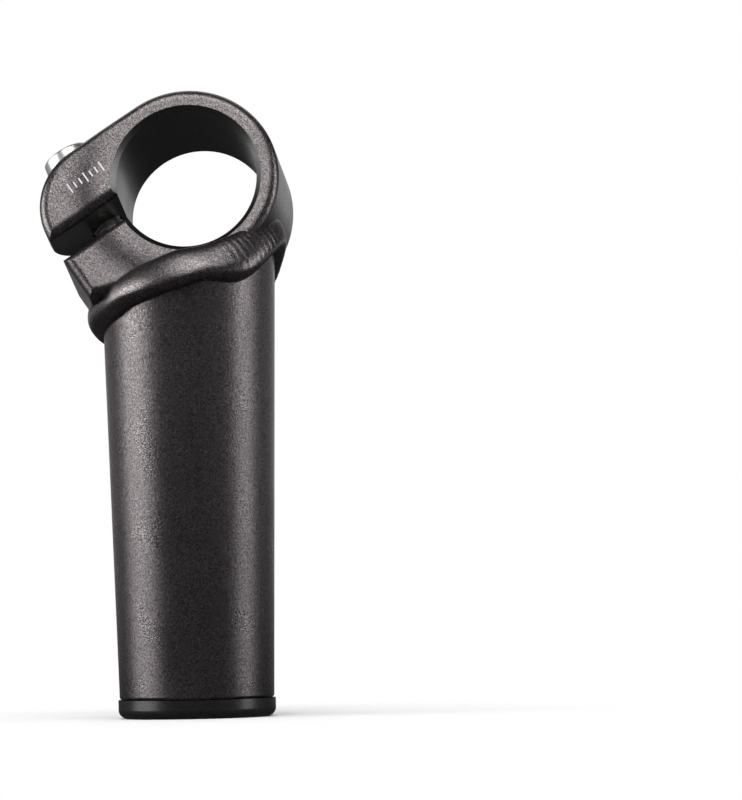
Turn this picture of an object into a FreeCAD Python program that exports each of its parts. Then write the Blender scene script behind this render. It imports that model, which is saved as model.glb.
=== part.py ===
import FreeCAD, Part
import math
import os
import Sketcher

# A clamp-on bar end for a bicycle handlebar. A split clamp grips the end of the handlebar, a tapered
# horn tube is coped to the underside of the clamp and welded to it all round, one socket-head bolt
# pinches the clamp's two ears together, and a plug closes the horn's open end.
#
# Row frame: origin at the middle of the clamp's bore, +Z up along the horn's axis, -X towards the ears
# and -Y towards the outboard face of the clamp. The bore's axis leans out of level by the cant.

SIZES = (
    ("bar_radius", 11.1, "radius of the handlebar end that the clamp grips"),
    ("ring_wall", 3.5, "wall of the clamp's ring"),
    ("clamp_width", 23.0, "clamp, from face to face along the bore"),
    ("cant_angle", 16.1, "degrees that the horn leans out of the clamp's plane"),
    ("slot_angle", 34.0, "degrees that the ears droop below level"),
    ("slot_width", 3.8, "gap between the ears"),
    ("slot_rise", 0.3, "lower side of the gap above the bore's centre"),
    ("ear_reach", 23.2, "bore's centre to the end of the ears"),
    ("ear_end_inset", 0.1, "start of the upper ear's rounded end, below that ear's side of the gap"),
    ("ear_drop", 7.4, "lower corner of the lower ear below the bore's centre"),
    ("ear_back_round", 18.7, "upper ear's inboard corner, seen along the bolt"),
    ("ear_back_stand", 0.2, "what that round stands out from the ears' end and face"),
    ("rim_width", 2.2, "flat rim of the ring's faces, from the bore's wall"),
    ("relief_span", 5.6, "slope from that rim out to the ears' faces"),
    ("relief_depth", 0.5, "ears' faces below the rim"),
    ("edge_round", 1.5, "rounded edges of the clamp's two faces"),
    ("bore_chamfer", 0.8, "chamfer at both mouths of the bore"),
    ("bolt_place", 13.9, "bolt's axis from the bore's centre, along the ears, at the middle of the gap"),
    ("bolt_lean_angle", 3.8, "degrees that the bolt's head leans towards the ring"),
    ("bolt_radius", 2.5, "bolt's shank"),
    ("bolt_length", 20.0, "bolt's shank, from under the head to the tip"),
    ("bolt_tip", 0.6, "chamfer at the bolt's tip"),
    ("hole_clearance", 0.25, "radial room round the shank in the upper ear"),
    ("thread_clearance", 0.05, "radial room round the shank in the lower ear"),
    ("head_seat", 10.7, "head's seat above the middle of the gap, along the bolt"),
    ("head_radius", 4.55, "bolt's head at its seat"),
    ("head_height", 5.0, "bolt's head"),
    ("head_taper_angle", 8.0, "degrees that the head's side leans in"),
    ("head_round", 1.2, "rounded rim of the bolt's head"),
    ("seat_clearance", 0.6, "radial room round the head in its spot face"),
    ("key_width", 4.0, "socket for the hexagon key, across flats"),
    ("key_depth", 2.8, "depth of that socket"),
    ("horn_reach", 78.8, "bore's centre to the horn's open end"),
    ("horn_end_radius", 12.17, "horn's outside at its open end"),
    ("horn_taper_angle", 1.29, "degrees that the horn's side leans in towards the open end"),
    ("horn_wall", 2.5, "wall of the horn tube"),
    ("horn_side_shift", 0.8, "horn's axis from the bore's centre, towards the ears"),
    ("horn_end_round", 0.5, "rounded outer edge of the open end"),
    ("bead_half_width", 2.9, "weld bead, half its width across the seam"),
    ("bead_drop", 0.5, "middle of the weld bead below the seam"),
    ("bead_rise", 1.6, "weld bead above the horn's surface"),
    ("bead_ear_rise", 0.8, "what the weld bead rises more at the ears' side"),
    ("bead_root", 2.9, "weld bead below the horn's surface, down to the clamp's faces"),
    ("bead_stop_angle", 38.0, "degrees from the outboard side to where the weld's run ends"),
    ("bead_stop_span_angle", 15.0, "degrees to each side that the swelling there takes up"),
    ("bead_stop_swell", 1.4, "what the bead spreads more down the horn there"),
    ("bead_bore_gap", 1.2, "weld bead kept back from the handlebar"),
    ("plug_radius", 12.4, "end plug's cap"),
    ("plug_cap", 2.95, "thickness of the cap"),
    ("plug_round", 1.4, "rounded lower edge of the cap"),
    ("plug_depth", 11.0, "plug's skirt inside the horn"),
    ("plug_wall", 1.6, "wall of the skirt"),
    ("plug_clearance", 0.15, "radial room between the skirt and the horn"),
    ("plug_rib", 1.2, "height of each gripping rib on the skirt"),
    ("plug_rib_pitch", 3.2, "distance between the ribs"),
)
PLUG_RIBS = 3
KEY_SIDES = 6
BEAD_SECTIONS = 48
BEAD_SECTION_POLES = 8
# The bead's skin is made in this many patches round the horn, each with an upper and a lower half.
BEAD_PATCHES = 4
# Degrees round the horn, from the side away from the ears, to its outboard side.
OUTBOARD = 270
# The line where the turned horn closes on itself lies on its inboard side.
HORN_START = 90

doc = FreeCAD.newDocument("bar_end")
sheet = doc.addObject("Spreadsheet::Sheet", "Sizes")
for row, (alias, value, note) in enumerate(SIZES, start=1):
    sheet.set("A%d" % row, alias)
    sheet.set("B%d" % row, "%g" % value)
    sheet.set("C%d" % row, note)
    sheet.setAlias("B%d" % row, alias)
doc.recompute()


def size(alias):
    return float(sheet.get(alias))


def plane(body, role):
    return next(feature for feature in body.Origin.OriginFeatures if feature.Role == role)


def new_body(label):
    body = doc.addObject("PartDesign::Body", label)
    body.Label = label
    return body


def new_sketch(body, name, role):
    sketch = body.newObject("Sketcher::SketchObject", name)
    sketch.AttachmentSupport = [(plane(body, role), "")]
    sketch.MapMode = "FlatFace"
    return sketch


def bind(sketch, constraint, formula):
    index = sketch.addConstraint(constraint)
    sketch.setExpression("Constraints[%d]" % index, formula)


def polygon(sketch, corners):
    """A closed chain of straight lines whose corners are pairs of formulas on the sheet."""
    count = len(corners)
    start = [
        (math.cos(2 * math.pi * index / count), math.sin(2 * math.pi * index / count))
        for index in range(count)
    ]
    for index, (x, y) in enumerate(start):
        end_x, end_y = start[(index + 1) % count]
        line = Part.LineSegment(FreeCAD.Vector(x, y, 0), FreeCAD.Vector(end_x, end_y, 0))
        sketch.addGeometry(line, False)
    for index in range(count):
        sketch.addConstraint(Sketcher.Constraint("Coincident", index, 2, (index + 1) % count, 1))
    for index, (x_formula, y_formula) in enumerate(corners):
        x, y = start[index]
        bind(sketch, Sketcher.Constraint("DistanceX", -1, 1, index, 1, x), x_formula)
        bind(sketch, Sketcher.Constraint("DistanceY", -1, 1, index, 1, y), y_formula)


def circle(sketch, x_formula, y_formula, radius_formula):
    index = sketch.addGeometry(Part.Circle(FreeCAD.Vector(1, 1, 0), FreeCAD.Vector(0, 0, 1), 1), False)
    bind(sketch, Sketcher.Constraint("DistanceX", -1, 1, index, 3, 1), x_formula)
    bind(sketch, Sketcher.Constraint("DistanceY", -1, 1, index, 3, 1), y_formula)
    bind(sketch, Sketcher.Constraint("Radius", index, 1), radius_formula)


def pad(body, sketch, length_formula):
    feature = body.newObject("PartDesign::Pad", sketch.Name + "_pad")
    feature.Profile = sketch
    feature.SideType = "Symmetric"
    feature.setExpression("Length", length_formula)
    sketch.Visibility = False
    return feature


def revolve(body, sketch, kind="PartDesign::Revolution"):
    feature = body.newObject(kind, sketch.Name + "_turned")
    feature.Profile = sketch
    feature.ReferenceAxis = (sketch, ["V_Axis"])
    feature.Angle = 360
    sketch.Visibility = False
    return feature


def cut(body, sketch, length_formula, symmetric=False, reverse=False):
    """Cut the sketch out of the body, and stop if the cut takes nothing away."""
    doc.recompute()
    before = body.Shape.Volume
    feature = body.newObject("PartDesign::Pocket", sketch.Name + "_cut")
    feature.Profile = sketch
    feature.SideType = "Symmetric" if symmetric else "One side"
    feature.Reversed = reverse
    feature.setExpression("Length", length_formula)
    sketch.Visibility = False
    doc.recompute()
    if body.Shape.Volume >= before:
        raise RuntimeError(feature.Name + " cuts nothing")
    return feature


def round_edges(body, base, names, formula):
    feature = body.newObject("PartDesign::Fillet", base.Name + "_rounded")
    feature.Base = (base, names)
    feature.setExpression("Radius", formula)
    return feature


def edges_where(shape, test):
    return ["Edge%d" % index for index, edge in enumerate(shape.Edges, start=1) if test(edge)]


RING_OUTER = "Sizes.bar_radius + Sizes.ring_wall"
RIM_RADIUS = "(Sizes.bar_radius + Sizes.rim_width)"
WIDE = "4 * Sizes.clamp_width"
GAP_MIDDLE = "Sizes.slot_rise + Sizes.slot_width / 2"
ring_outer = size("bar_radius") + size("ring_wall")
cant = math.radians(size("cant_angle"))
horn_x = -size("horn_side_shift")
horn_y = -ring_outer * math.sin(cant)
horn_slope = math.tan(math.radians(size("horn_taper_angle")))
horn_origin = FreeCAD.Vector(horn_x, horn_y, 0)
axis_x = FreeCAD.Vector(1, 0, 0)
axis_y = FreeCAD.Vector(0, 1, 0)
axis_z = FreeCAD.Vector(0, 0, 1)

# The clamp is drawn with x along the ears, y from the lower ear to the upper one and z along the bore.
level_to_row = FreeCAD.Rotation(axis_x, 90 - size("cant_angle"))
ears_to_level = FreeCAD.Rotation(axis_z, size("slot_angle")).multiply(FreeCAD.Rotation(axis_y, 180))
clamp_to_row = FreeCAD.Placement(FreeCAD.Vector(), level_to_row.multiply(ears_to_level))


def clamp_outline(sketch):
    """The clamp seen along its bore: a ring, with the ears as one lug tangent to it on both sides."""
    reach = size("ear_reach")
    drop = size("ear_drop")
    end_radius = ring_outer - size("slot_rise") - size("slot_width") + size("ear_end_inset")
    end_x = reach - end_radius
    end_y = ring_outer - end_radius
    corner = FreeCAD.Vector(reach, -drop, 0)
    touch = math.atan2(-drop, reach) - math.acos(ring_outer / corner.Length)
    touch_point = FreeCAD.Vector(ring_outer * math.cos(touch), ring_outer * math.sin(touch), 0)
    centre = FreeCAD.Vector()
    end_centre = FreeCAD.Vector(end_x, end_y, 0)
    quarter = math.pi / 2
    sketch.addGeometry(Part.LineSegment(FreeCAD.Vector(0, ring_outer, 0),
                                        FreeCAD.Vector(end_x, ring_outer, 0)), False)
    sketch.addGeometry(Part.ArcOfCircle(Part.Circle(end_centre, axis_z, end_radius), 0, quarter), False)
    sketch.addGeometry(Part.LineSegment(FreeCAD.Vector(reach, end_y, 0), corner), False)
    sketch.addGeometry(Part.LineSegment(corner, touch_point), False)
    sketch.addGeometry(Part.ArcOfCircle(Part.Circle(centre, axis_z, ring_outer),
                                        quarter, 2 * math.pi + touch), False)
    top, ear_end, end_face, underside, ring = range(5)
    for constraint in (
        Sketcher.Constraint("Coincident", ring, 3, -1, 1),
        Sketcher.Constraint("Tangent", top, 1, ring, 1),
        Sketcher.Constraint("Tangent", top, 2, ear_end, 2),
        Sketcher.Constraint("Tangent", ear_end, 1, end_face, 1),
        Sketcher.Constraint("Coincident", end_face, 2, underside, 1),
        Sketcher.Constraint("Tangent", underside, 2, ring, 2),
        Sketcher.Constraint("Horizontal", top),
        Sketcher.Constraint("Vertical", end_face),
    ):
        sketch.addConstraint(constraint)
    bind(sketch, Sketcher.Constraint("Radius", ring, ring_outer), RING_OUTER)
    bind(sketch, Sketcher.Constraint("Radius", ear_end, end_radius),
         RING_OUTER + " - Sizes.slot_rise - Sizes.slot_width + Sizes.ear_end_inset")
    bind(sketch, Sketcher.Constraint("DistanceX", -1, 1, end_face, 2, reach), "Sizes.ear_reach")
    bind(sketch, Sketcher.Constraint("DistanceY", end_face, 2, -1, 1, drop), "Sizes.ear_drop")


def relief_profile(sketch, side):
    """What is turned off one face of the clamp: an S-shaped slope from the rim down to the ears' faces."""
    rim = size("bar_radius") + size("rim_width")
    half = size("clamp_width") / 2
    span = size("relief_span")
    depth = size("relief_depth")
    far = size("ear_reach") + span
    points = [FreeCAD.Vector(x, side * y, 0) for x, y in (
        (rim, half), (rim + span / 2, half - depth / 2), (rim + span, half - depth),
        (far, half - depth), (far, half + span), (rim, half + span))]
    top, middle, foot, floor_end, outer, inner = points
    radius = (span ** 2 + depth ** 2) / (4 * depth)
    lean = math.asin(span / 2 / radius)
    up = math.pi / 2
    crest_turns = (up - lean, up) if side > 0 else (-up, lean - up)
    foot_turns = (-up - lean, -up) if side > 0 else (up, up + lean)
    crest_centre = FreeCAD.Vector(rim, side * (half - radius), 0)
    foot_centre = FreeCAD.Vector(rim + span, side * (half - depth + radius), 0)
    for centre, turns in ((crest_centre, crest_turns), (foot_centre, foot_turns)):
        sketch.addGeometry(Part.ArcOfCircle(Part.Circle(centre, axis_z, radius), *turns), False)
    for start, end in ((foot, floor_end), (floor_end, outer), (outer, inner), (inner, top)):
        sketch.addGeometry(Part.LineSegment(start, end), False)
    crest_arc, foot_arc, floor_line, outer_line, top_line, inner_line = range(6)
    # An arc's first end is the one at its lower angle, so the two sides number their ends differently.
    crest_top, crest_foot = (2, 1) if side > 0 else (1, 2)
    foot_top, foot_foot = (1, 2) if side > 0 else (2, 1)
    for constraint in (
        Sketcher.Constraint("Coincident", crest_arc, crest_foot, foot_arc, foot_top),
        Sketcher.Constraint("Coincident", foot_arc, foot_foot, floor_line, 1),
        Sketcher.Constraint("Coincident", floor_line, 2, outer_line, 1),
        Sketcher.Constraint("Coincident", outer_line, 2, top_line, 1),
        Sketcher.Constraint("Coincident", top_line, 2, inner_line, 1),
        Sketcher.Constraint("Coincident", inner_line, 2, crest_arc, crest_top),
        Sketcher.Constraint("Horizontal", floor_line),
        Sketcher.Constraint("Vertical", outer_line),
        Sketcher.Constraint("Horizontal", top_line),
    ):
        sketch.addConstraint(constraint)
    sign = "" if side > 0 else "-"
    foot_x = RIM_RADIUS + " + Sizes.relief_span"
    for geometry, end, x, formula in (
        (crest_arc, crest_top, rim, RIM_RADIUS),
        (crest_arc, 3, rim, RIM_RADIUS),
        (crest_arc, crest_foot, middle.x, RIM_RADIUS + " + Sizes.relief_span / 2"),
        (foot_arc, 3, foot.x, foot_x),
        (foot_arc, foot_foot, foot.x, foot_x),
        (floor_line, 2, far, "Sizes.ear_reach + Sizes.relief_span"),
        (inner_line, 1, rim, RIM_RADIUS),
    ):
        bind(sketch, Sketcher.Constraint("DistanceX", -1, 1, geometry, end, x), formula)
    for geometry, end, y, formula in (
        (crest_arc, crest_top, top.y, "(Sizes.clamp_width / 2)"),
        (crest_arc, crest_foot, middle.y, "(Sizes.clamp_width / 2 - Sizes.relief_depth / 2)"),
        (foot_arc, foot_foot, foot.y, "(Sizes.clamp_width / 2 - Sizes.relief_depth)"),
        (inner_line, 1, inner.y, "(Sizes.clamp_width / 2 + Sizes.relief_span)"),
    ):
        bind(sketch, Sketcher.Constraint("DistanceY", -1, 1, geometry, end, y), sign + formula)


def rounded_corner(sketch):
    """What a round takes off the corner between the ears' end and the clamp's inboard face."""
    reach = size("ear_reach") + size("ear_back_stand")
    half = size("clamp_width") / 2 + size("ear_back_stand")
    radius = size("ear_back_round")
    past_end = reach + radius
    past_face = half + radius
    points = [FreeCAD.Vector(x, y, 0) for x, y in (
        (reach, half - radius), (past_end, half - radius), (past_end, past_face),
        (reach - radius, past_face), (reach - radius, half))]
    for start, end in zip(points, points[1:]):
        sketch.addGeometry(Part.LineSegment(start, end), False)
    centre = FreeCAD.Vector(reach - radius, half - radius, 0)
    sketch.addGeometry(Part.ArcOfCircle(Part.Circle(centre, axis_z, radius), 0, math.pi / 2), False)
    across, up, back, down, arc = range(5)
    for constraint in (
        Sketcher.Constraint("Coincident", across, 2, up, 1),
        Sketcher.Constraint("Coincident", up, 2, back, 1),
        Sketcher.Constraint("Coincident", back, 2, down, 1),
        Sketcher.Constraint("Coincident", down, 2, arc, 2),
        Sketcher.Constraint("Coincident", across, 1, arc, 1),
        Sketcher.Constraint("Horizontal", across),
        Sketcher.Constraint("Vertical", up),
        Sketcher.Constraint("Horizontal", back),
        Sketcher.Constraint("Vertical", down),
    ):
        sketch.addConstraint(constraint)
    past_reach = "Sizes.ear_reach + Sizes.ear_back_stand"
    past_half = "Sizes.clamp_width / 2 + Sizes.ear_back_stand"
    corner_x = past_reach + " - Sizes.ear_back_round"
    corner_y = past_half + " - Sizes.ear_back_round"
    bind(sketch, Sketcher.Constraint("Radius", arc, radius), "Sizes.ear_back_round")
    bind(sketch, Sketcher.Constraint("DistanceX", -1, 1, arc, 3, centre.x), corner_x)
    bind(sketch, Sketcher.Constraint("DistanceY", -1, 1, arc, 3, centre.y), corner_y)
    bind(sketch, Sketcher.Constraint("DistanceX", -1, 1, down, 2, centre.x), corner_x)
    bind(sketch, Sketcher.Constraint("DistanceY", -1, 1, across, 1, centre.y), corner_y)
    bind(sketch, Sketcher.Constraint("DistanceX", -1, 1, up, 1, past_end),
         past_reach + " + Sizes.ear_back_round")
    bind(sketch, Sketcher.Constraint("DistanceY", -1, 1, up, 2, past_face),
         past_half + " + Sizes.ear_back_round")


def on_face_outline(edge):
    """True for an edge round the outside of one of the clamp's two faces, or along the gap in them."""
    lowest = size("clamp_width") / 2 - size("relief_depth") - 1e-6
    middle = edge.CenterOfMass
    curve = edge.Curve
    within_face = hasattr(curve, "Radius") and math.hypot(curve.Center.x, curve.Center.y) < 1e-6 \
        and abs(curve.Radius - ring_outer) > 1e-6
    # The gap's inner end lies in the bore's room.
    inner_end = abs(middle.x) < 1e-6 and math.hypot(middle.x, middle.y) < size("bar_radius")
    return abs(middle.z) > lowest and not within_face and not inner_end \
        and all(abs(vertex.Z) > lowest for vertex in edge.Vertexes)


def square_to_bolt(sketch, height):
    """Lay the sketch square to the bolt, at a height along it above the middle of the ears' gap."""
    lean = "Sizes.bolt_lean_angle * 1deg"
    sketch.AttachmentOffset = FreeCAD.Placement(FreeCAD.Vector(), FreeCAD.Rotation(axis_y, 1))
    sketch.setExpression("AttachmentOffset.Rotation.Angle", lean)
    sketch.setExpression("AttachmentOffset.Base.x", "Sizes.bolt_place - %s * sin(%s)" % (height, lean))
    sketch.setExpression("AttachmentOffset.Base.z", "-(%s) - %s * cos(%s)" % (GAP_MIDDLE, height, lean))


def build_clamp():
    body = new_body("clamp_body")
    outline = new_sketch(body, "clamp_outline", "XY_Plane")
    clamp_outline(outline)
    pad(body, outline, "Sizes.clamp_width")
    # The faces fall away from the ring's rim to the ears. Each turned cut starts and ends in the gap.
    for name, side in (("outboard_relief", -1), ("inboard_relief", 1)):
        relief = new_sketch(body, name, "XZ_Plane")
        relief.AttachmentOffset = FreeCAD.Placement(FreeCAD.Vector(), FreeCAD.Rotation(axis_y, 1))
        relief.setExpression("AttachmentOffset.Rotation.Angle",
                             "asin((%s) / (%s + Sizes.relief_span / 2))" % (GAP_MIDDLE, RIM_RADIUS))
        relief_profile(relief, side)
        revolve(body, relief, "PartDesign::Groove")
    slot = new_sketch(body, "slot", "XY_Plane")
    slot_top = "Sizes.slot_rise + Sizes.slot_width"
    past_ears = "Sizes.ear_reach + Sizes.slot_width"
    polygon(slot, (("0", "Sizes.slot_rise"), (past_ears, "Sizes.slot_rise"),
                   (past_ears, slot_top), ("0", slot_top)))
    slotted = cut(body, slot, WIDE, symmetric=True)
    round_edges(body, slotted, edges_where(slotted.Shape, on_face_outline), "Sizes.edge_round")

    # The bore, with a chamfer at both mouths that the tool carries on past the faces.
    bore = new_sketch(body, "bore_profile", "XZ_Plane")
    past_face = "(Sizes.clamp_width / 2 + Sizes.bore_chamfer)"
    wall_end = "(Sizes.clamp_width / 2 - Sizes.bore_chamfer)"
    mouth = "Sizes.bar_radius + 2 * Sizes.bore_chamfer"
    polygon(bore, (("0", "-" + past_face), (mouth, "-" + past_face), ("Sizes.bar_radius", "-" + wall_end),
                   ("Sizes.bar_radius", wall_end), (mouth, past_face), ("0", past_face)))
    revolve(body, bore, "PartDesign::Groove")

    # Seen along the bolt: the upper ear's inboard corner swept away in one large round.
    corner = new_sketch(body, "ear_corner", "XZ_Plane")
    corner.setExpression("AttachmentOffset.Base.z", "-(%s)" % GAP_MIDDLE)
    rounded_corner(corner)
    cut(body, corner, "2 * Sizes.ear_reach")

    # A clearance hole and a spot face in the upper ear, a threaded hole in the lower one.
    clear_hole = new_sketch(body, "clearance_hole", "XZ_Plane")
    square_to_bolt(clear_hole, "0")
    circle(clear_hole, "0", "0", "Sizes.bolt_radius + Sizes.hole_clearance")
    cut(body, clear_hole, "2 * Sizes.ear_reach")
    threaded_hole = new_sketch(body, "threaded_hole", "XZ_Plane")
    square_to_bolt(threaded_hole, "0")
    circle(threaded_hole, "0", "0", "Sizes.bolt_radius + Sizes.thread_clearance")
    cut(body, threaded_hole, "2 * Sizes.ear_reach", reverse=True)
    spot_face = new_sketch(body, "spot_face", "XZ_Plane")
    square_to_bolt(spot_face, "Sizes.head_seat")
    circle(spot_face, "0", "0", "Sizes.head_radius + Sizes.seat_clearance")
    cut(body, spot_face, "Sizes.ear_reach")
    body.Placement = clamp_to_row
    return body


def horn_radius(z):
    return size("horn_end_radius") + (z + size("horn_reach")) * horn_slope


HORN_TOP_RADIUS = "Sizes.horn_end_radius + Sizes.horn_reach * tan(Sizes.horn_taper_angle * 1deg)"


def build_horn_blank(label, hollow):
    """The tapered horn before it is coped, running up to the bore's centre."""
    body = new_body(label)
    profile = new_sketch(body, label + "_profile", "XZ_Plane")
    inner_top = HORN_TOP_RADIUS + " - Sizes.horn_wall" if hollow else "0"
    inner_end = "Sizes.horn_end_radius - Sizes.horn_wall" if hollow else "0"
    polygon(profile, ((inner_end, "-Sizes.horn_reach"), ("Sizes.horn_end_radius", "-Sizes.horn_reach"),
                      (HORN_TOP_RADIUS, "0"), (inner_top, "0")))
    turned = revolve(body, profile)
    if hollow:
        doc.recompute()
        rim = edges_where(turned.Shape, lambda edge: hasattr(edge.Curve, "Radius")
                          and abs(edge.Curve.Radius - size("horn_end_radius")) < 1e-6)
        round_edges(body, turned, rim, "Sizes.horn_end_round")
    body.Placement = FreeCAD.Placement(horn_origin, FreeCAD.Rotation(axis_z, HORN_START))
    return body


def build_cope():
    """The clamp's outline carried on past both faces, which is what the horn's top is cut to."""
    body = new_body("cope")
    outline = new_sketch(body, "cope_outline", "XY_Plane")
    clamp_outline(outline)
    pad(body, outline, WIDE)
    body.Placement = clamp_to_row
    return body


def boolean(kind, label, base, tool):
    feature = doc.addObject(kind, label)
    feature.Label = label
    feature.Base = base
    feature.Tool = tool
    feature.Refine = False
    return feature


def seam_height(x, y):
    """Height of the clamp's underside, carried on past its faces, above the point x, y."""
    angle = math.radians(size("slot_angle"))
    reach = size("ear_reach")
    drop = size("ear_drop")
    ear_x = FreeCAD.Vector(-math.cos(angle), -math.sin(angle), 0)
    ear_y = FreeCAD.Vector(-math.sin(angle), math.cos(angle), 0)
    corner = ear_x * reach - ear_y * drop
    touch = math.atan2(-drop, reach) - math.acos(ring_outer / math.hypot(reach, drop))
    touch_point = (ear_x * math.cos(touch) + ear_y * math.sin(touch)) * ring_outer
    if x < corner.x:
        rise = corner.y + (corner.x - x) / math.tan(angle)
    elif x < touch_point.x:
        rise = corner.y + (x - corner.x) * (touch_point.y - corner.y) / (touch_point.x - corner.x)
    else:
        rise = -math.sqrt(max(ring_outer ** 2 - x ** 2, 0))
    return (rise - y * math.sin(cant)) / math.cos(cant)


def seam_point(turn):
    """Where the horn's outside meets the clamp's underside, at an angle round the horn's axis."""
    z = -ring_outer
    for _ in range(12):
        radius = horn_radius(z)
        x = horn_x + radius * math.cos(turn)
        y = horn_y + radius * math.sin(turn)
        z = seam_height(x, y)
    return FreeCAD.Vector(x, y, z)


def bead_section(turn):
    """Poles of the weld bead's oval at one place on the seam, square to it."""
    step = math.pi / BEAD_SECTIONS
    along = (seam_point(turn + step) - seam_point(turn - step)).normalize()
    outward = FreeCAD.Vector(math.cos(turn), math.sin(turn), horn_slope)
    outward = (outward - along * outward.dot(along)).normalize()
    down = along.cross(outward)
    rise = size("bead_rise") + size("bead_ear_rise") * max(-math.cos(turn), 0) ** 2
    depth = (rise + size("bead_root")) / 2
    middle = seam_point(turn) + outward * (rise - depth) + down * size("bead_drop")
    past_stop = math.degrees(turn) - OUTBOARD - size("bead_stop_angle")
    swell = size("bead_stop_swell") * math.exp(-(past_stop / size("bead_stop_span_angle")) ** 2)
    # A closed curve runs inside its poles, so they stand out from the oval by this share.
    stand_out = 3 / (2 + math.cos(2 * math.pi / BEAD_SECTION_POLES))
    poles = []
    for index in range(BEAD_SECTION_POLES):
        angle = 2 * math.pi * index / BEAD_SECTION_POLES
        half_width = size("bead_half_width") + swell * max(math.cos(angle), 0)
        reach = down * half_width * math.cos(angle) - outward * depth * math.sin(angle)
        poles.append(middle + reach * stand_out)
    return poles


def build_bead(horn_core, clamp):
    turns = [2 * math.pi * index / BEAD_SECTIONS for index in range(BEAD_SECTIONS)]
    skin = Part.BSplineSurface()
    skin.buildFromPolesMultsKnots(
        [bead_section(turn) for turn in turns],
        [1] * (BEAD_SECTIONS + 1), [1] * (BEAD_SECTION_POLES + 1),
        list(range(BEAD_SECTIONS + 1)), list(range(BEAD_SECTION_POLES + 1)), True, True, 3, 3)
    patch_ends = [BEAD_SECTIONS * index / BEAD_PATCHES for index in range(BEAD_PATCHES + 1)]
    half_ends = [0, BEAD_SECTION_POLES / 2, BEAD_SECTION_POLES]
    shell = Part.makeShell([
        skin.toShape(start, end, low, high)
        for start, end in zip(patch_ends, patch_ends[1:])
        for low, high in zip(half_ends, half_ends[1:])
    ])
    shell.sewShape()
    rope = doc.addObject("Part::Feature", "weld_rope")
    rope.Shape = Part.Solid(shell)
    handlebar = doc.addObject("Part::Cylinder", "handlebar_room")
    handlebar.setExpression("Radius", "Sizes.bar_radius + Sizes.bead_bore_gap")
    handlebar.setExpression("Height", WIDE)
    middle = FreeCAD.Placement(FreeCAD.Vector(0, 0, -2 * size("clamp_width")), FreeCAD.Rotation())
    handlebar.Placement = clamp_to_row.multiply(middle)
    off_horn = boolean("Part::Cut", "rope_off_horn", rope, horn_core)
    off_bar = boolean("Part::Cut", "rope_off_handlebar", off_horn, handlebar)
    return boolean("Part::Cut", "weld_bead", off_bar, clamp)


def build_bolt():
    """A socket-head bolt, turned with its seat at the origin and set in the spot face."""
    body = new_body("clamp_bolt")
    profile = new_sketch(body, "bolt_profile", "XZ_Plane")
    head_top_radius = "Sizes.head_radius - Sizes.head_height * tan(Sizes.head_taper_angle * 1deg)"
    polygon(profile, (
        ("0", "-Sizes.bolt_length"),
        ("Sizes.bolt_radius - Sizes.bolt_tip", "-Sizes.bolt_length"),
        ("Sizes.bolt_radius", "Sizes.bolt_tip - Sizes.bolt_length"),
        ("Sizes.bolt_radius", "0"),
        ("Sizes.head_radius", "0"),
        (head_top_radius, "Sizes.head_height"),
        ("0", "Sizes.head_height"),
    ))
    turned = revolve(body, profile)
    doc.recompute()
    top_rim = edges_where(turned.Shape, lambda edge: hasattr(edge.Curve, "Radius")
                          and all(vertex.Z > size("head_height") - 1e-6 for vertex in edge.Vertexes))
    round_edges(body, turned, top_rim, "Sizes.head_round")
    socket = new_sketch(body, "key_socket", "XY_Plane")
    socket.setExpression("AttachmentOffset.Base.z", "Sizes.head_height")
    corner_radius = "Sizes.key_width / (2 * cos(180deg / %d))" % KEY_SIDES
    corner_turns = ["360deg * %d / %d" % (index, KEY_SIDES) for index in range(KEY_SIDES)]
    polygon(socket, [
        ("%s * cos(%s)" % (corner_radius, turn), "%s * sin(%s)" % (corner_radius, turn))
        for turn in corner_turns
    ])
    cut(body, socket, "Sizes.key_depth")
    gap_middle = size("slot_rise") + size("slot_width") / 2
    hole = FreeCAD.Placement(FreeCAD.Vector(size("bolt_place"), gap_middle, 0),
                             FreeCAD.Rotation(axis_z, size("bolt_lean_angle")))
    seat = FreeCAD.Placement(FreeCAD.Vector(0, size("head_seat"), 0), FreeCAD.Rotation(axis_x, -90))
    body.Placement = clamp_to_row.multiply(hole).multiply(seat)
    return body


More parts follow.
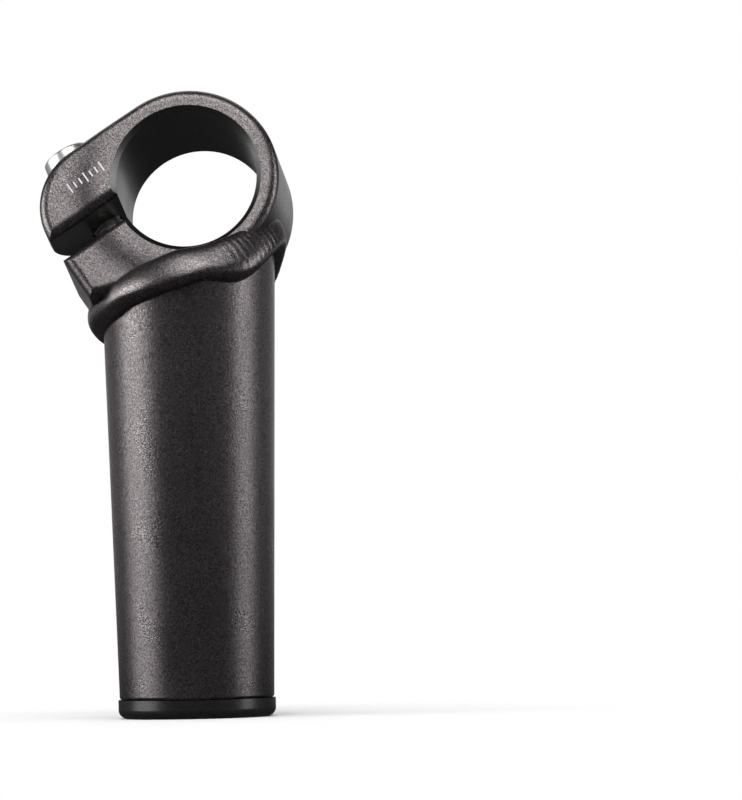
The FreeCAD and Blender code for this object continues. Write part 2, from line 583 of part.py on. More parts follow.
def build_plug():
    """A moulded cap with a hollow skirt that follows the horn's taper and grips by a few low ribs."""
    body = new_body("end_plug")
    profile = new_sketch(body, "plug_profile", "XZ_Plane")
    slope = "tan(Sizes.horn_taper_angle * 1deg)"
    bore_end = "Sizes.horn_end_radius - Sizes.horn_wall"

    def bore_radius(height):
        return "%s + (%s) * %s" % (bore_end, height, slope)

    def skirt_radius(height):
        return bore_radius(height) + " - Sizes.plug_clearance"

    skirt = []
    for index in range(PLUG_RIBS):
        foot = "%d * Sizes.plug_rib_pitch - Sizes.plug_rib" % (index + 1)
        crest = "%d * Sizes.plug_rib_pitch - Sizes.plug_rib / 2" % (index + 1)
        head = "%d * Sizes.plug_rib_pitch" % (index + 1)
        skirt.append((skirt_radius(foot), foot))
        skirt.append((bore_radius(crest), crest))
        skirt.append((skirt_radius(head), head))
    polygon(profile, [
        ("0", "-Sizes.plug_cap"),
        ("Sizes.plug_radius", "-Sizes.plug_cap"),
        ("Sizes.plug_radius", "0"),
        (skirt_radius("0"), "0"),
        *skirt,
        (skirt_radius("Sizes.plug_depth"), "Sizes.plug_depth"),
        (skirt_radius("Sizes.plug_depth") + " - Sizes.plug_wall", "Sizes.plug_depth"),
        (skirt_radius("0") + " - Sizes.plug_wall", "0"),
        ("0", "0"),
    ])
    turned = revolve(body, profile)
    doc.recompute()
    lower_rim = edges_where(turned.Shape, lambda edge: hasattr(edge.Curve, "Radius")
                            and all(vertex.Z < 1e-6 - size("plug_cap") for vertex in edge.Vertexes))
    round_edges(body, turned, lower_rim, "Sizes.plug_round")
    body.Placement = FreeCAD.Placement(horn_origin - axis_z * size("horn_reach"), FreeCAD.Rotation())
    return body


clamp = build_clamp()
cope = build_cope()
horn_tube = boolean("Part::Cut", "horn_tube", build_horn_blank("horn_blank", hollow=True), cope)
horn_core = boolean("Part::Cut", "horn_core", build_horn_blank("horn_solid", hollow=False), cope)
weld_bead = build_bead(horn_core, clamp)
sub_parts = (clamp, horn_tube, weld_bead, build_bolt(), build_plug())
doc.recompute()

for item in doc.Objects:
    if "Invalid" in item.State or "Error" in item.State:
        raise RuntimeError("%s failed: %s" % (item.Name, item.State))
for sub_part in sub_parts:
    if sub_part.Shape.isNull() or not sub_part.Shape.isValid():
        raise RuntimeError(sub_part.Label + " has no valid shape")

os.makedirs("parts", exist_ok=True)
for sub_part in sub_parts:
    sub_part.Shape.exportStep(os.path.join("parts", sub_part.Label + ".step"))
    print("%s: %d solid, %.1f mm3" % (sub_part.Label, len(sub_part.Shape.Solids), sub_part.Shape.Volume))
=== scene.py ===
import math

import bpy
import numpy as np
from mathutils import Matrix, Vector


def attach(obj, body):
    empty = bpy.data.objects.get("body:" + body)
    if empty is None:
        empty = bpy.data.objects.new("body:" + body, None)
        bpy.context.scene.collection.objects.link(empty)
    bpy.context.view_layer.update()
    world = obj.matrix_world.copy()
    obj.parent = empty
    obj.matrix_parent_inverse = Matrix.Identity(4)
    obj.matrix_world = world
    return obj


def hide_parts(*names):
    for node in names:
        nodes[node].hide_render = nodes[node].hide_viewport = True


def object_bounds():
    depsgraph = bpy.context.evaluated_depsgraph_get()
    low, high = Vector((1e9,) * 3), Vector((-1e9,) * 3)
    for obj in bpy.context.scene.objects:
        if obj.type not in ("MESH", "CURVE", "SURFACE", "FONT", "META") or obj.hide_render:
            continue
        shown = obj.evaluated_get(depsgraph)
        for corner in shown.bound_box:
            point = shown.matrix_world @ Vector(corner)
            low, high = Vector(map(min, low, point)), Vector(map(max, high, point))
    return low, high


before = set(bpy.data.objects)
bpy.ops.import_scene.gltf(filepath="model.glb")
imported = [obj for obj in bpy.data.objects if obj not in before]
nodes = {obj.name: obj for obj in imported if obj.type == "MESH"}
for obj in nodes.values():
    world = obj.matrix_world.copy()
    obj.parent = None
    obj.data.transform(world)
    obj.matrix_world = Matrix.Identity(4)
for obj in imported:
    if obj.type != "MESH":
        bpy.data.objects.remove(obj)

cad_low, cad_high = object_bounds()
MM = 0.001

# The clamp, in metres: its frame has x along the ears, y from the lower ear to the upper one and
# z along the bore, from the outboard face to the inboard one.
CANT = math.radians(16.1)
EARS_DROOP = math.radians(34.0)
BAR_RADIUS = 11.1 * MM
RING_OUTER = 14.6 * MM
CLAMP_HALF_WIDTH = 11.5 * MM
BORE_CHAMFER = 0.8 * MM
EAR_REACH = 23.2 * MM
EAR_DROP = 7.4 * MM
GAP_LOW = 0.3 * MM
GAP_HIGH = 4.1 * MM
GAP_MARGIN = 0.01 * MM
GAP_FACING = 0.99
RIM_RADIUS = 13.3 * MM
RELIEF_SPAN = 5.6 * MM
RELIEF_DEPTH = 0.5 * MM
LEVEL = Vector((0, math.sin(CANT), math.cos(CANT)))
BORE_Z = Vector((0, math.cos(CANT), -math.sin(CANT)))
EAR_X = -math.cos(EARS_DROOP) * Vector((1, 0, 0)) - math.sin(EARS_DROOP) * LEVEL
EAR_Y = -math.sin(EARS_DROOP) * Vector((1, 0, 0)) + math.cos(EARS_DROOP) * LEVEL
CLAMP = Matrix((EAR_X, EAR_Y, BORE_Z)).transposed()

# The horn: its axis is upright, and its outside narrows towards the open end.
HORN_X = -0.8 * MM
HORN_Y = -RING_OUTER * math.sin(CANT)
HORN_END = -78.8 * MM
HORN_END_RADIUS = 12.17 * MM
HORN_SLOPE = math.tan(math.radians(1.29))

# The weld bead round the seam. The seam's direction is taken over a short turn to both sides.
SEAM_PASSES = 12
SEAM_SIDE_TURN = math.pi / 48
BEAD_HALF_WIDTH = 2.9 * MM
BEAD_DROP = 0.5 * MM
BEAD_RISE = 1.6 * MM
BEAD_EAR_RISE = 0.8 * MM
BEAD_ROOT = 2.9 * MM
BEAD_STOP_TURN = math.radians(270 + 38)
BEAD_STOP_SPAN = math.radians(15)
BEAD_STOP_SWELL = 1.4 * MM
BEAD_BORE_GAP = 1.2 * MM
BEAD_SLOPE = 0.50
BEAD_SLOPE_TURN = math.radians(270 + 22)
BEAD_STEPS = 720
BEAD_ROUND = 72

# The bead's ripples. A wave is its height, its count in a full turn and its shift.
RIPPLES = 92
RIPPLE_HEIGHT = 0.040 * MM
RIPPLE_BOW = 1.1
RIPPLE_OVERTONE = 0.35
RIPPLE_OVERTONE_SHIFT = 0.6
RIPPLE_SIDEWAYS = 0.6
RIPPLE_CALM = 0.12
RIPPLE_COARSE_TURN = 0.35
RIPPLE_COARSE_REACH = 0.35
RIPPLE_UNEVEN = 0.3
UNEVEN_WAVES = ((1.0, 9, 0.4), (1.0, 4, 1.7))
PITCH_WAVES = ((1.3, 5, 0.8), (0.9, 11, 2.0))
EDGE_WAVES = ((0.10 * MM, 7, 1.0), (0.07 * MM, 13, 2.4))

# The bolt, on its own axis with its seat at height 0.
BOLT_PLACE = 13.9 * MM
BOLT_LEAN = math.radians(3.8)
BOLT_RADIUS = 2.5 * MM
BOLT_LENGTH = 20.0 * MM
BOLT_AROUND = 96
BOLT_SHARP = math.radians(40)
AXIS_RING = 0.02 * MM
HEAD_SEAT = 10.7 * MM
HEAD_RADIUS = 4.55 * MM
HEAD_HEIGHT = 5.0 * MM
HEAD_TAPER = math.tan(math.radians(8.0))
HEAD_ROUND = 0.4 * MM
HEAD_ROUND_STEPS = 8
NECK_ROUND = 0.15 * MM
KEY_WIDTH = 4.0 * MM
KEY_DEPTH = 2.8 * MM
THREAD_PITCH = 0.8 * MM
THREAD_DEPTH = 0.45 * MM
THREAD_TOP = -7.0 * MM
THREAD_ROWS = 16
THREAD_STEEPNESS = 1.35
THREAD_ROOT = 0.12
THREAD_RUN_OUT = 1.5
THREAD_TIP = 0.6 * MM

# Rings of the bolt's head. On the socket's floor: the share of the flats' reach, and the height over
# the flats' lower ends. At its mouth: the distance past the flats, and the depth under the top.
# At the head's foot: the distance inside the head's radius, and the height over the seat.
SOCKET_CONE = 0.6 * MM
SOCKET_FLOOR = ((0.55, -0.25 * MM), (0.98, 0.0), (1.0, 0.05 * MM))
SOCKET_MOUTH = ((0.0, 0.20 * MM), (0.05 * MM, 0.06 * MM), (0.22 * MM, 0.0))
HEAD_FOOT = ((0.25 * MM * HEAD_TAPER + 0.02 * MM, 0.25 * MM), (0.12 * MM, 0.05 * MM), (0.25 * MM, 0.0))

# The upper ear's mark, a row of strokes along the ear in the clamp's frame.
MARK_X = 9.9 * MM
MARK_Y = 9.25 * MM
MARK_STROKES = 7
MARK_EACH_LONG = 3
MARK_PITCH = 1.0 * MM
MARK_LONG = 1.8 * MM
MARK_SHORT = 1.1 * MM
STROKE_WIDTH = 0.22 * MM
STROKE_STEP = 0.12 * MM
PAINT_HEIGHT = 0.02 * MM

# Most of a noise lies between these two values.
NOISE_LOW = 0.3
NOISE_HIGH = 0.7

# The anodised finish.
ANODISED_METALLIC = 0.95
ANODISED_TINT_GRAINS = 1.3
ANODISED_PATCH = 7 * MM
ANODISED_ROUGHNESS_SPAN = 0.03

# The photograph's camera.
IMAGE_HEIGHT = 800
SENSOR = 36.0
FOCAL_PIXELS = 12000
PIXELS_PER_METRE = 6337
CAMERA_AZIMUTH = math.radians(5.85)
CAMERA_ROLL = math.radians(1.24)
CAMERA_NEAR = 0.05
CAMERA_FAR = 100
TARGET_RIGHT = 27.88 * MM
TARGET_DOWN = 31.80 * MM

# The lights: name, degrees round from the camera, degrees above level, distance, width, height and
# radiance.
LIGHTS = (
    ("left_strip", -82, 6, 0.9, 0.66, 0.8, 5.1),
    ("right_strip", 80, 6, 0.9, 0.30, 0.8, 4.6),
    ("front_box", -9, 36, 1.0, 0.30, 0.46, 4.5),
    ("over_box", -4, 59, 1.0, 1.0, 0.34, 4.6),
    ("back_box", 180, 42, 1.0, 1.0, 0.6, 1.0),
)

# The background: its light on matt surfaces, and how bright it is in reflections, dim all round and
# bright straight behind the part.
AMBIENT = 0.36
AMBIENT_GREY = 0.9
SWEEP_DIM = 0.07
SWEEP_BRIGHT = 0.65
SWEEP_RANGE = (0.86, 1.0)

# The floor: its own shade near the part, pure white further out, and how bright it is in reflections,
# dim near the part and bright far behind it and to its sides.
FLOOR_HALF = 6.0
FLOOR_GREY = 0.95
FLOOR_ROUGHNESS = 0.8
FLOOR_IOR = 1.2
FLOOR_WHITE_RANGE = (0.02, 0.07)
FLOOR_DIM = 0.036
BEHIND_BRIGHT = 0.65
BEHIND_RANGE = (0.4, 2.0)
BESIDE_BRIGHT = 0.5
BESIDE_RANGE = (0.12, 0.6)


def add_mesh(name, vertices, faces, smooth=True):
    mesh = bpy.data.meshes.new(name)
    mesh.from_pydata([tuple(v) for v in vertices], [], faces)
    mesh.validate()
    mesh.update()
    for polygon in mesh.polygons:
        polygon.use_smooth = smooth
    piece = bpy.data.objects.new(name, mesh)
    bpy.context.scene.collection.objects.link(piece)
    return piece


def grid_faces(rows, columns, close_rows, close_columns):
    """Quads over a grid of vertices stored row by row, closed on itself where asked."""
    faces = []
    for row in range(rows if close_rows else rows - 1):
        for column in range(columns if close_columns else columns - 1):
            next_row = (row + 1) % rows
            next_column = (column + 1) % columns
            faces.append((row * columns + column, row * columns + next_column,
                          next_row * columns + next_column, next_row * columns + column))
    return faces


# Materials.
def new_material(name):
    material = bpy.data.materials.new(name)
    material.use_nodes = True
    tree = material.node_tree
    return material, tree, tree.nodes["Principled BSDF"]


def noise(tree, grain, detail=2.0):
    """Noise whose features are about one grain across, in metres of the part's own frame."""
    place = tree.nodes.new("ShaderNodeTexCoord")
    texture = tree.nodes.new("ShaderNodeTexNoise")
    texture.inputs["Scale"].default_value = 1 / grain
    texture.inputs["Detail"].default_value = detail
    tree.links.new(place.outputs["Object"], texture.inputs["Vector"])
    return texture.outputs["Fac"]


def spread(tree, value, low, high, from_low=NOISE_LOW, from_high=NOISE_HIGH):
    """The value carried from its usual range to a new one."""
    node = tree.nodes.new("ShaderNodeMapRange")
    tree.links.new(value, node.inputs["Value"])
    node.inputs["From Min"].default_value = from_low
    node.inputs["From Max"].default_value = from_high
    node.inputs["To Min"].default_value = low
    node.inputs["To Max"].default_value = high
    return node.outputs["Result"]


def bump(tree, shader, height, distance):
    node = tree.nodes.new("ShaderNodeBump")
    node.inputs["Strength"].default_value = 1.0
    node.inputs["Distance"].default_value = distance
    tree.links.new(height, node.inputs["Height"])
    tree.links.new(node.outputs["Normal"], shader.inputs["Normal"])


def tint(tree, shader, value, dark, light):
    ramp = tree.nodes.new("ShaderNodeValToRGB")
    ramp.color_ramp.elements[0].position = NOISE_LOW
    ramp.color_ramp.elements[0].color = (*dark, 1)
    ramp.color_ramp.elements[1].position = NOISE_HIGH
    ramp.color_ramp.elements[1].color = (*light, 1)
    tree.links.new(value, ramp.inputs["Fac"])
    tree.links.new(ramp.outputs["Color"], shader.inputs["Base Color"])


def roughen(tree, shader, value, low, high):
    tree.links.new(spread(tree, value, low, high), shader.inputs["Roughness"])


def anodised(name, grain, grain_height, roughness, dark, light):
    """Black anodised aluminium over a blasted or a machined surface."""
    material, tree, shader = new_material(name)
    shader.inputs["Metallic"].default_value = ANODISED_METALLIC
    tint(tree, shader, noise(tree, ANODISED_TINT_GRAINS * grain), dark, light)
    roughen(tree, shader, noise(tree, ANODISED_PATCH),
            roughness - ANODISED_ROUGHNESS_SPAN, roughness + ANODISED_ROUGHNESS_SPAN)
    bump(tree, shader, noise(tree, grain), grain_height)
    return material


def turned_steel():
    material, tree, shader = new_material("turned_steel")
    shader.inputs["Metallic"].default_value = 1.0
    scratches = noise(tree, 0.35 * MM, detail=3.0)
    tint(tree, shader, noise(tree, 3 * MM), dark=(0.56, 0.55, 0.54), light=(0.66, 0.65, 0.64))
    roughen(tree, shader, scratches, low=0.30, high=0.38)
    bump(tree, shader, scratches, distance=0.001 * MM)
    return material


def moulded_plastic():
    material, tree, shader = new_material("moulded_plastic")
    shader.inputs["IOR"].default_value = 1.6
    grain = noise(tree, 0.3 * MM)
    tint(tree, shader, noise(tree, 6 * MM), dark=(0.006, 0.006, 0.006), light=(0.009, 0.009, 0.009))
    roughen(tree, shader, grain, low=0.26, high=0.34)
    bump(tree, shader, grain, distance=0.008 * MM)
    return material


def white_paint():
    material, tree, shader = new_material("white_paint")
    speck = noise(tree, 0.12 * MM)
    tint(tree, shader, speck, dark=(0.55, 0.55, 0.55), light=(0.72, 0.72, 0.72))
    shader.inputs["Roughness"].default_value = 0.6
    return material


BLASTED = anodised("blasted_anodised", grain=0.21 * MM, grain_height=0.046 * MM, roughness=0.28,
                   dark=(0.052, 0.047, 0.048), light=(0.200, 0.182, 0.185))
MACHINED = anodised("machined_anodised", grain=0.16 * MM, grain_height=0.004 * MM, roughness=0.30,
                    dark=(0.083, 0.083, 0.082), light=(0.101, 0.101, 0.100))
STEEL = turned_steel()
PLASTIC = moulded_plastic()
PAINT = white_paint()


def coat(piece, *materials):
    piece.data.materials.clear()
    for material in materials:
        piece.data.materials.append(material)


# The clamp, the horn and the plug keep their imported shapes. The clamp's bore and gap are machined
# smooth.
coat(nodes["clamp_body"], BLASTED, MACHINED)
to_clamp = CLAMP.transposed()
for polygon in nodes["clamp_body"].data.polygons:
    middle = to_clamp @ polygon.center
    facing = to_clamp @ polygon.normal
    in_bore = math.hypot(middle.x, middle.y) < BAR_RADIUS + BORE_CHAMFER
    between_ears = middle.x > 0 and GAP_LOW - GAP_MARGIN < middle.y < GAP_HIGH + GAP_MARGIN
    in_gap = between_ears and abs(facing.y) > GAP_FACING
    polygon.material_index = 1 if in_bore or in_gap else 0
coat(nodes["horn_tube"], BLASTED)
coat(nodes["end_plug"], PLASTIC)


# The weld bead, laid in ripples round the seam.
def seam_height(x, y):
    """Height of the clamp's underside, carried on past its faces, over the points x, y."""
    ear_x = np.array((-math.cos(EARS_DROOP), -math.sin(EARS_DROOP)))
    ear_y = np.array((-math.sin(EARS_DROOP), math.cos(EARS_DROOP)))
    corner = ear_x * EAR_REACH - ear_y * EAR_DROP
    touch = math.atan2(-EAR_DROP, EAR_REACH) - math.acos(RING_OUTER / math.hypot(EAR_REACH, EAR_DROP))
    touch_point = (ear_x * math.cos(touch) + ear_y * math.sin(touch)) * RING_OUTER
    slope = (touch_point[1] - corner[1]) / (touch_point[0] - corner[0])
    under_ear = corner[1] + (x - corner[0]) * slope
    under_ring = -np.sqrt(np.maximum(RING_OUTER ** 2 - x ** 2, 0))
    rise = np.where(x < touch_point[0], under_ear, under_ring)
    return (rise - y * math.sin(CANT)) / math.cos(CANT)


def seam_points(turn):
    """Points where the horn's outside meets the clamp's underside, at turns round the horn."""
    z = np.full_like(turn, -RING_OUTER)
    for _ in range(SEAM_PASSES):
        radius = HORN_END_RADIUS + (z - HORN_END) * HORN_SLOPE
        x = HORN_X + radius * np.cos(turn)
        y = HORN_Y + radius * np.sin(turn)
        z = seam_height(x, y)
    return np.stack((x, y, z), axis=-1)


def unit(vectors):
    return vectors / np.linalg.norm(vectors, axis=-1, keepdims=True)


def wave(turn, height, count, shift):
    return height * np.sin(count * turn + shift)


def waves(turn, terms):
    return sum(wave(turn, *term) for term in terms)


def build_bead():
    turn = np.arange(BEAD_STEPS) * 2 * math.pi / BEAD_STEPS
    centre = seam_points(turn)
    along = unit(seam_points(turn + SEAM_SIDE_TURN) - seam_points(turn - SEAM_SIDE_TURN))
    outward = np.stack((np.cos(turn), np.sin(turn), np.full_like(turn, HORN_SLOPE)), axis=-1)
    outward = unit(outward - along * np.sum(outward * along, axis=-1, keepdims=True))
    down = np.cross(along, outward)
    rise = BEAD_RISE + BEAD_EAR_RISE * np.maximum(-np.cos(turn), 0) ** 2
    depth = (rise + BEAD_ROOT) / 2
    middle = centre + outward * (rise - depth)[:, None] + down * BEAD_DROP
    swell = BEAD_STOP_SWELL * np.exp(-((turn - BEAD_STOP_TURN) / BEAD_STOP_SPAN) ** 2)
    angle = np.arange(BEAD_ROUND) * 2 * math.pi / BEAD_ROUND
    across = np.cos(angle)[None, :]
    out = np.sin(angle)[None, :]
    half_width = BEAD_HALF_WIDTH + swell[:, None] * np.maximum(across, 0)
    # The run is smooth towards the outboard side and coarser round the side away from the ears.
    coarse = np.clip(RIPPLE_COARSE_REACH + np.cos(turn - RIPPLE_COARSE_TURN), 0, 1) ** 2
    coarse = RIPPLE_CALM + (1 - RIPPLE_CALM) * coarse
    patches = wave(turn, *UNEVEN_WAVES[0]) * wave(turn, *UNEVEN_WAVES[1])
    coarse = coarse * (1 - RIPPLE_UNEVEN + RIPPLE_UNEVEN * patches)
    phase = (turn * RIPPLES + waves(turn, PITCH_WAVES))[:, None] + RIPPLE_BOW * math.pi * across ** 2
    overtone = RIPPLE_OVERTONE * np.sin(2 * phase + RIPPLE_OVERTONE_SHIFT)
    ripple = RIPPLE_HEIGHT * coarse[:, None] * (np.sin(phase) + overtone)
    across_size = half_width + RIPPLE_SIDEWAYS * ripple + waves(turn, EDGE_WAVES)[:, None]
    out_size = depth[:, None] + ripple * np.maximum(out, 0)
    # Towards the outboard side the bead slopes out as it runs down to the horn.
    outboard = np.maximum(np.cos(turn - BEAD_SLOPE_TURN), 0)[:, None]
    slope = BEAD_SLOPE * outboard * np.maximum(out, 0) * half_width * (1 + across) ** 2 / 2
    points = (middle[:, None, :] + down[:, None, :] * (across_size * across)[:, :, None]
              + outward[:, None, :] * (out_size * out + slope)[:, :, None]).reshape(-1, 3)
    # The bead stops short of the handlebar.
    bore = np.array(BORE_Z)
    run = points @ bore
    radial = points - run[:, None] * bore
    distance = np.linalg.norm(radial, axis=1)
    kept_back = np.maximum(distance, BAR_RADIUS + BEAD_BORE_GAP)
    points = run[:, None] * bore + radial * (kept_back / distance)[:, None]
    piece = add_mesh("weld_bead_run", points, grid_faces(BEAD_STEPS, BEAD_ROUND, True, True))
    coat(piece, BLASTED)
    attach(piece, "root")
    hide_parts("weld_bead")


# The bolt: a turned head with a hexagon socket, and a shank with a cut thread.
def build_bolt():
    angle = np.arange(BOLT_AROUND) * 2 * math.pi / BOLT_AROUND
    circle = np.stack((np.cos(angle), np.sin(angle)), axis=-1)
    sector = math.pi / 3
    hexagon = KEY_WIDTH / 2 / np.cos((angle + sector / 2) % sector - sector / 2)
    top_radius = HEAD_RADIUS - HEAD_HEIGHT * HEAD_TAPER
    socket_floor = HEAD_HEIGHT - KEY_DEPTH
    rings = []

    def ring(radius, height):
        level = np.full(BOLT_AROUND, height)
        rings.append(np.column_stack((circle * np.reshape(radius, (-1, 1)), level)))

    ring(AXIS_RING, socket_floor - SOCKET_CONE)
    for share, height in SOCKET_FLOOR:
        ring(hexagon * share, socket_floor + height)
    for past, under in SOCKET_MOUTH:
        ring(hexagon + past, HEAD_HEIGHT - under)
    for index in range(HEAD_ROUND_STEPS + 1):
        lean = math.pi / 2 * index / HEAD_ROUND_STEPS
        inset = HEAD_ROUND * (1 - math.sin(lean))
        ring(top_radius - inset, HEAD_HEIGHT - HEAD_ROUND * (1 - math.cos(lean)))
    for inset, height in HEAD_FOOT:
        ring(HEAD_RADIUS - inset, height)
    ring(BOLT_RADIUS + NECK_ROUND, 0.0)
    ring(BOLT_RADIUS, -NECK_ROUND)
    ring(BOLT_RADIUS, THREAD_TOP)
    rows = int((THREAD_TOP + BOLT_LENGTH) / THREAD_PITCH * THREAD_ROWS)
    for index in range(1, rows):
        height = THREAD_TOP - index * THREAD_PITCH / THREAD_ROWS
        zigzag = np.abs(((angle / (2 * math.pi) + height / THREAD_PITCH) % 1.0) * 2 - 1)
        flank = np.clip(zigzag * THREAD_STEEPNESS - THREAD_ROOT, 0, 1)
        run_in = min(1.0, index / THREAD_ROWS)
        run_out = min(1.0, (rows - index) / (THREAD_RUN_OUT * THREAD_ROWS))
        ring(BOLT_RADIUS - THREAD_DEPTH * (1 - flank * (run_in * run_out)), height)
    ring(BOLT_RADIUS - THREAD_TIP, -BOLT_LENGTH)
    ring(AXIS_RING, -BOLT_LENGTH)
    hole = (CLAMP.to_4x4() @ Matrix.Translation((BOLT_PLACE, (GAP_LOW + GAP_HIGH) / 2, 0))
            @ Matrix.Rotation(BOLT_LEAN, 4, "Z") @ Matrix.Translation((0, HEAD_SEAT, 0))
            @ Matrix.Rotation(-math.pi / 2, 4, "X"))
    points = np.concatenate(rings) @ np.array(hole)[:3, :3].T + np.array(hole)[:3, 3]
    faces = grid_faces(len(rings), BOLT_AROUND, False, True)
    piece = add_mesh("clamp_bolt_threaded", points, faces)
    piece.data.set_sharp_from_angle(angle=BOLT_SHARP)
    coat(piece, STEEL)
    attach(piece, "root")
    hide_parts("clamp_bolt")


# The upper ear's painted mark: a plain row of graduation strokes, each third one longer.
def face_depth(radius):
    """How far the clamp's face lies below its rim, at a distance from the bore's axis."""
    bend = (RELIEF_SPAN ** 2 + RELIEF_DEPTH ** 2) / (4 * RELIEF_DEPTH)
    past_rim = min(max(radius - RIM_RADIUS, 0), RELIEF_SPAN)
    if past_rim < RELIEF_SPAN / 2:
        return bend - math.sqrt(bend ** 2 - past_rim ** 2)
    return RELIEF_DEPTH - bend + math.sqrt(bend ** 2 - (RELIEF_SPAN - past_rim) ** 2)


def add_stroke(start, end, vertices, faces):
    """Add one closed ribbon to the mark, straight over the outboard face and half sunk in it."""
    ahead = end - start
    side = Vector((-ahead.y, ahead.x)).normalized() * STROKE_WIDTH / 2
    steps = max(1, round(ahead.length / STROKE_STEP))
    first = len(vertices)
    for index in range(steps + 1):
        point = start.lerp(end, index / steps)
        for corner in (point + side, point - side):
            face = CLAMP_HALF_WIDTH - face_depth(corner.length)
            for height in (PAINT_HEIGHT, -PAINT_HEIGHT):
                vertices.append(CLAMP @ Vector((corner.x, corner.y, -face - height)))
    last = first + 4 * steps
    for base in range(first, last, 4):
        for low, high in ((0, 2), (2, 3), (3, 1), (1, 0)):
            faces.append((base + low, base + high, base + 4 + high, base + 4 + low))
    faces.append((first, first + 1, first + 3, first + 2))
    faces.append((last, last + 2, last + 3, last + 1))


def build_mark():
    vertices = []
    faces = []
    for index in range(MARK_STROKES):
        place = MARK_X + index * MARK_PITCH
        half = (MARK_SHORT if index % MARK_EACH_LONG else MARK_LONG) / 2
        add_stroke(Vector((place, MARK_Y - half)), Vector((place, MARK_Y + half)), vertices, faces)
    piece = add_mesh("ear_mark", vertices, faces, smooth=False)
    coat(piece, PAINT)
    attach(piece, "root")


build_bead()
build_bolt()
build_mark()


# The camera.
right = Vector((math.cos(CAMERA_AZIMUTH), math.sin(CAMERA_AZIMUTH), 0))
look = Vector((-math.sin(CAMERA_AZIMUTH), math.cos(CAMERA_AZIMUTH), 0))
upright = Vector((0, 0, 1))
across_image = right * math.cos(CAMERA_ROLL) - upright * math.sin(CAMERA_ROLL)
up_image = right * math.sin(CAMERA_ROLL) + upright * math.cos(CAMERA_ROLL)
camera = bpy.data.objects.new("camera", bpy.data.cameras.new("camera"))
bpy.context.scene.collection.objects.link(camera)
camera.data.sensor_width = SENSOR
camera.data.lens = FOCAL_PIXELS * SENSOR / IMAGE_HEIGHT
camera_distance = FOCAL_PIXELS / PIXELS_PER_METRE
target = across_image * TARGET_RIGHT - up_image * TARGET_DOWN
turn_camera = Matrix((across_image, up_image, -look)).transposed().to_4x4()
camera.matrix_world = Matrix.Translation(target - look * camera_distance) @ turn_camera
camera.data.clip_start = CAMERA_NEAR
camera.data.clip_end = CAMERA_FAR
bpy.context.scene.camera = camera


# The studio: a white floor and background, a tall light on each side, two soft boxes above the front
# and a weak one behind.
def add_light(name, from_front, elevation, distance, width, height, radiance):
    """A soft box aimed at the part, at degrees round from the camera and above level."""
    turn = math.radians(from_front) + CAMERA_AZIMUTH
    rise = math.radians(elevation)
    level = math.cos(rise)
    towards = Vector((math.sin(turn) * level, -math.cos(turn) * level, math.sin(rise)))
    lamp = bpy.data.lights.new(name, "AREA")
    lamp.shape = "RECTANGLE"
    lamp.size = width
    lamp.size_y = height
    lamp.energy = radiance * math.pi * width * height
    light = bpy.data.objects.new(name, lamp)
    light.location = (cad_low + cad_high) / 2 + towards * distance
    light.rotation_euler = towards.to_track_quat("Z", "Y").to_euler()
    bpy.context.scene.collection.objects.link(light)


def compute(tree, operation, *values):
    """The output of one arithmetic node over the given outputs."""
    node = tree.nodes.new("ShaderNodeMath")
    node.operation = operation
    for value, socket in zip(values, node.inputs):
        tree.links.new(value, socket)
    return node.outputs[0]


def split_axes(tree, vector):
    node = tree.nodes.new("ShaderNodeSeparateXYZ")
    tree.links.new(vector, node.inputs[0])
    return node.outputs


def ray_kinds(tree):
    """1 for rays from the camera, and 1 for reflected and transmitted ones."""
    path = tree.nodes.new("ShaderNodeLightPath").outputs
    reflected = compute(tree, "MAXIMUM", path["Is Glossy Ray"], path["Is Transmission Ray"])
    return path["Is Camera Ray"], reflected


def mix_shaders(tree, share, first, second, output):
    mix = tree.nodes.new("ShaderNodeMixShader")
    tree.links.new(share, mix.inputs["Fac"])
    tree.links.new(first.outputs[0], mix.inputs[1])
    tree.links.new(second.outputs[0], mix.inputs[2])
    tree.links.new(mix.outputs[0], tree.nodes[output].inputs["Surface"])


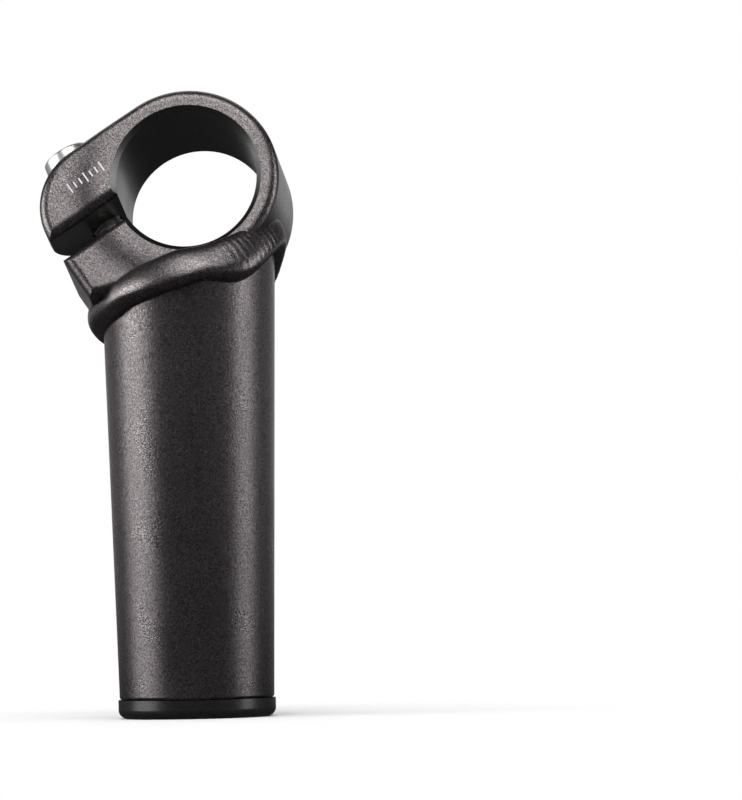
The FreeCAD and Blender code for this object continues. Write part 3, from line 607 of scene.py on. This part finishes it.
def build_world():
    """White to the camera, a sweep behind the part in reflections, and a dim room to the rest."""
    world = bpy.data.worlds.new("studio")
    world.use_nodes = True
    bpy.context.scene.world = world
    tree = world.node_tree
    ambient = tree.nodes["Background"]
    ambient.inputs["Color"].default_value = (AMBIENT_GREY, AMBIENT_GREY, AMBIENT_GREY, 1)
    ambient.inputs["Strength"].default_value = AMBIENT
    white = tree.nodes.new("ShaderNodeBackground")
    white.inputs["Color"].default_value = (1, 1, 1, 1)
    from_camera, reflected = ray_kinds(tree)
    place = tree.nodes.new("ShaderNodeTexCoord")
    axes = split_axes(tree, place.outputs["Generated"])
    sweep = spread(tree, axes["Y"], SWEEP_DIM, SWEEP_BRIGHT, *SWEEP_RANGE)
    tree.links.new(compute(tree, "MAXIMUM", sweep, from_camera), white.inputs["Strength"])
    direct = compute(tree, "MAXIMUM", from_camera, reflected)
    mix_shaders(tree, direct, ambient, white, "World Output")


def build_floor():
    """A floor that takes the part's shadow near it and is white to the camera further out."""
    corners = [(-FLOOR_HALF, -FLOOR_HALF, 0), (FLOOR_HALF, -FLOOR_HALF, 0),
               (FLOOR_HALF, FLOOR_HALF, 0), (-FLOOR_HALF, FLOOR_HALF, 0)]
    floor = add_mesh("floor", corners, [(0, 1, 2, 3)], smooth=False)
    floor.location.z = cad_low.z
    material, tree, shader = new_material("white_floor")
    shader.inputs["Base Color"].default_value = (FLOOR_GREY, FLOOR_GREY, FLOOR_GREY, 1)
    shader.inputs["Roughness"].default_value = FLOOR_ROUGHNESS
    shader.inputs["IOR"].default_value = FLOOR_IOR
    white = tree.nodes.new("ShaderNodeEmission")
    from_camera, reflected = ray_kinds(tree)
    place = tree.nodes.new("ShaderNodeTexCoord").outputs["Object"]
    length = tree.nodes.new("ShaderNodeVectorMath")
    length.operation = "LENGTH"
    tree.links.new(place, length.inputs[0])
    away = spread(tree, length.outputs["Value"], 0.0, 1.0, *FLOOR_WHITE_RANGE)
    seen = compute(tree, "MULTIPLY", away, from_camera)
    axes = split_axes(tree, place)
    aside = compute(tree, "ABSOLUTE", axes["X"])
    behind = spread(tree, axes["Y"], FLOOR_DIM, BEHIND_BRIGHT, *BEHIND_RANGE)
    beside = spread(tree, aside, FLOOR_DIM, BESIDE_BRIGHT, *BESIDE_RANGE)
    lit = compute(tree, "MAXIMUM", behind, beside)
    tree.links.new(compute(tree, "MAXIMUM", lit, from_camera), white.inputs["Strength"])
    share = compute(tree, "MAXIMUM", seen, reflected)
    mix_shaders(tree, share, shader, white, "Material Output")
    coat(floor, material)


for light in LIGHTS:
    add_light(*light)
build_world()
build_floor()
bpy.context.scene.view_settings.view_transform = "Standard"
